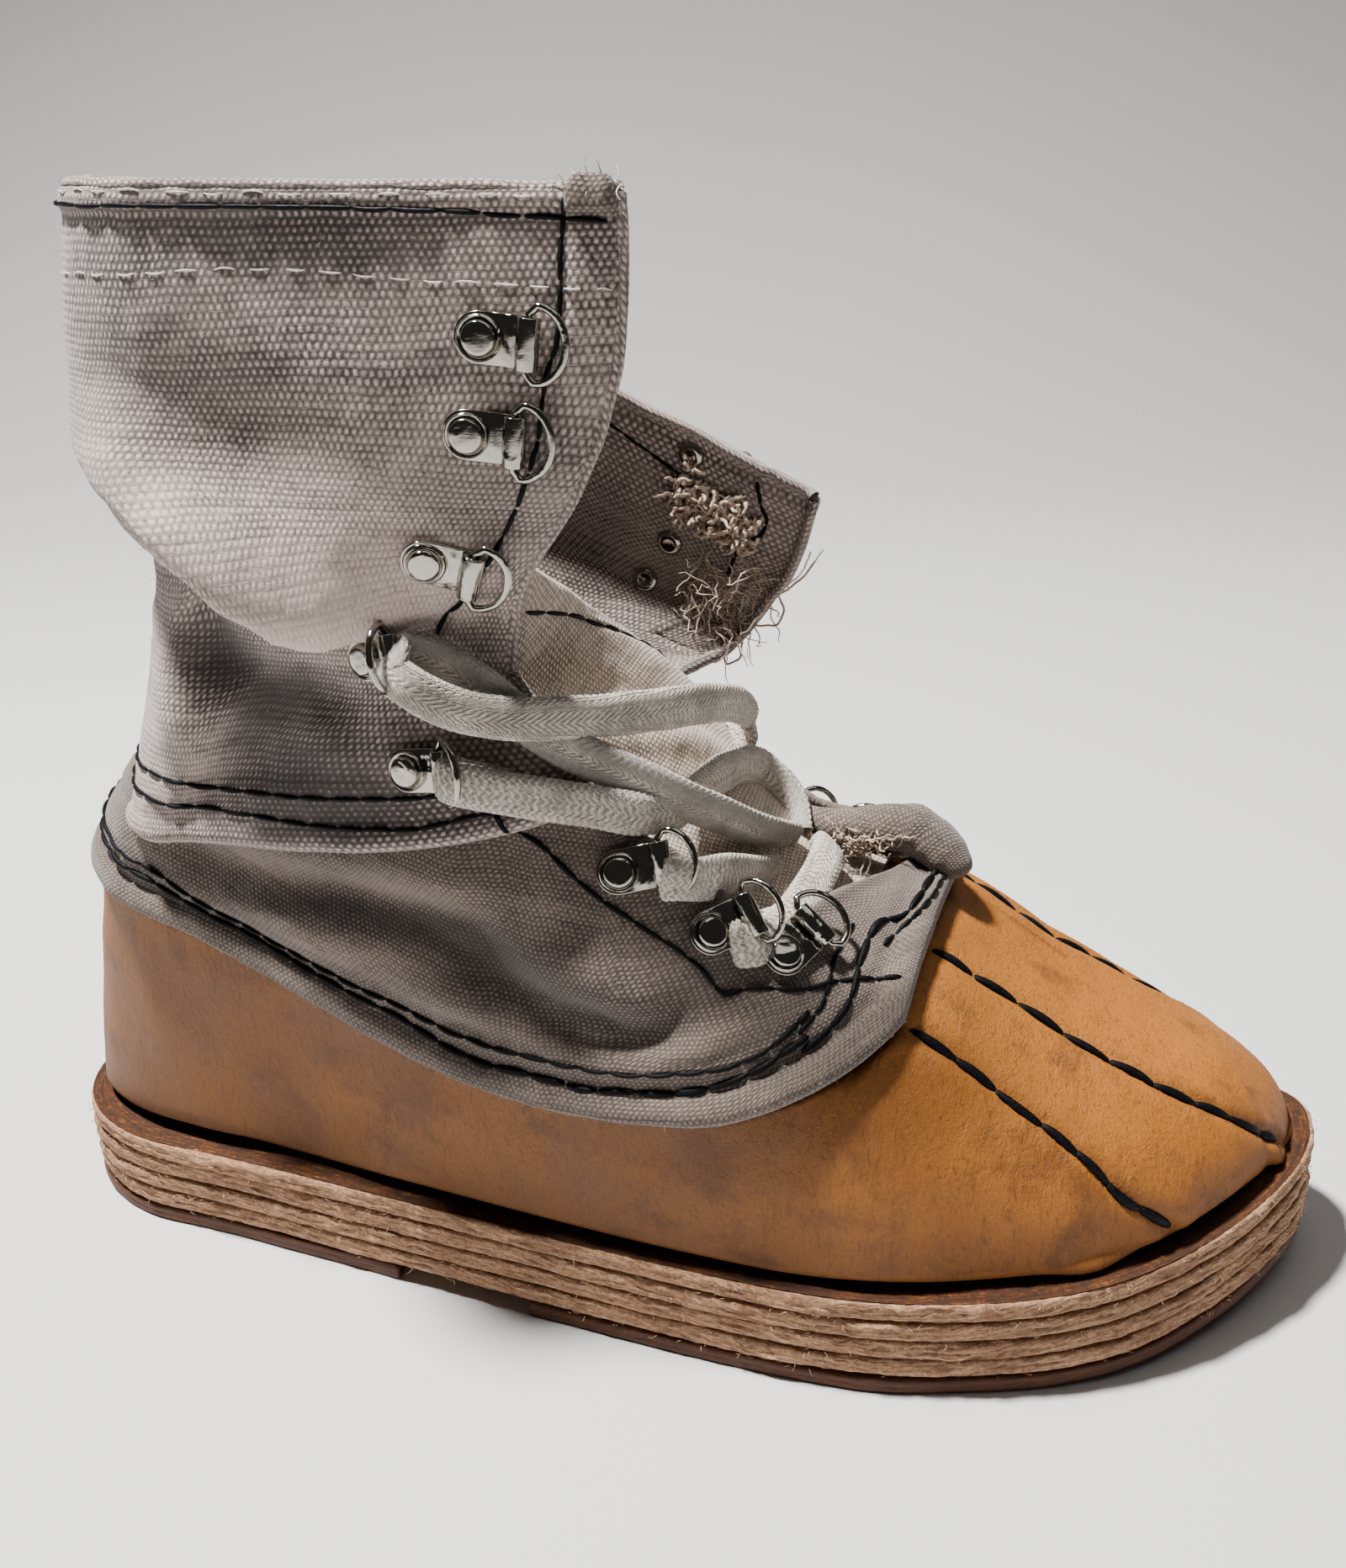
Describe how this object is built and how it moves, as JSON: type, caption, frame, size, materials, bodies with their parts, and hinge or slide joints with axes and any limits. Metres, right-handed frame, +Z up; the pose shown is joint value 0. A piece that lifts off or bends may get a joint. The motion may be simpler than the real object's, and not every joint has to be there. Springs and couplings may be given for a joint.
{
  "type": "duck boot",
  "caption": "Right duck boot with a stacked leather sole, natural leather lower, slouched canvas shaft, canvas tongue and lace through D-ring clips.",
  "frame": {"origin": "on the floor under the middle of the heel tread's flat face", "axes": "+X towards the toe, +Y towards the foot's inner side, +Z up"},
  "size_m": [0.29, 0.1157, 0.229],
  "materials": {
    "natural_leather": "undyed vegetable-tanned leather, waxed, uneven tan",
    "sole_leather": "thick sole leather with rough cut edges",
    "tread_leather": "dense brown tread leather, smooth edge",
    "canvas": "unbleached heavy cotton duck, plain weave, black stitching",
    "tongue_canvas": "unbleached lighter canvas",
    "nickel": "nickel-plated steel, slightly worn",
    "cotton_lace": "flat knitted cotton, off-white"
  },
  "bodies": {
    "root": {"heel_tread": "tread_leather", "forefoot_tread": "tread_leather", "sole_layer_1": "sole_leather", "sole_layer_2": "sole_leather", "sole_layer_3": "sole_leather", "sole_layer_4": "sole_leather", "insole": "natural_leather", "leather_lower": "natural_leather", "canvas_quarter": "canvas", "canvas_shaft": "canvas", "tongue": "tongue_canvas", "lace_top_bar": "cotton_lace", "lace_crossings": "cotton_lace", "lace_bottom_bar": "cotton_lace", "lateral_clip_1": "nickel", "lateral_clip_2": "nickel", "lateral_clip_3": "nickel", "lateral_clip_4": "nickel", "lateral_clip_5": "nickel", "lateral_clip_6": "nickel", "lateral_clip_7": "nickel", "lateral_clip_8": "nickel", "medial_clip_1": "nickel", "medial_clip_2": "nickel", "medial_clip_3": "nickel", "medial_clip_4": "nickel", "medial_clip_5": "nickel", "medial_clip_6": "nickel", "medial_clip_7": "nickel", "medial_clip_8": "nickel", "lateral_ring_4": "nickel", "lateral_ring_5": "nickel", "lateral_ring_6": "nickel", "lateral_ring_7": "nickel", "lateral_ring_8": "nickel", "medial_ring_4": "nickel", "medial_ring_5": "nickel", "medial_ring_6": "nickel", "medial_ring_7": "nickel", "medial_ring_8": "nickel"},
    "lateral_ring_1": {"lateral_ring_1": "nickel"},
    "lateral_ring_2": {"lateral_ring_2": "nickel"},
    "lateral_ring_3": {"lateral_ring_3": "nickel"},
    "medial_ring_1": {"medial_ring_1": "nickel"},
    "medial_ring_2": {"medial_ring_2": "nickel"},
    "medial_ring_3": {"medial_ring_3": "nickel"}
  },
  "joints": [
    {"name": "lateral_ring_1_swing", "type": "hinge", "parent": "root", "child": "lateral_ring_1", "pos_m": [0.09553, -0.04594, 0.20053], "axis": [-0.1394, -0.0196, -0.99], "range_deg": [0, 150]},
    {"name": "lateral_ring_2_swing", "type": "hinge", "parent": "root", "child": "lateral_ring_2", "pos_m": [0.09224, -0.04682, 0.18484], "axis": [-0.1348, 0.0106, -0.9908], "range_deg": [0, 150]},
    {"name": "lateral_ring_3_swing", "type": "hinge", "parent": "root", "child": "lateral_ring_3", "pos_m": [0.0815, -0.04491, 0.16104], "axis": [-0.3562, 0.213, -0.9098], "range_deg": [0, 150]},
    {"name": "medial_ring_1_swing", "type": "hinge", "parent": "root", "child": "medial_ring_1", "pos_m": [0.10633, 0.05236, 0.16145], "axis": [0.5826, -0.1031, 0.8062], "range_deg": [0, 150]},
    {"name": "medial_ring_2_swing", "type": "hinge", "parent": "root", "child": "medial_ring_2", "pos_m": [0.09999, 0.05703, 0.14139], "axis": [0.4887, -0.2551, 0.8343], "range_deg": [0, 150]},
    {"name": "medial_ring_3_swing", "type": "hinge", "parent": "root", "child": "medial_ring_3", "pos_m": [0.09186, 0.05724, 0.12914], "axis": [0.6009, 0.2372, 0.7633], "range_deg": [0, 150]}
  ]
}
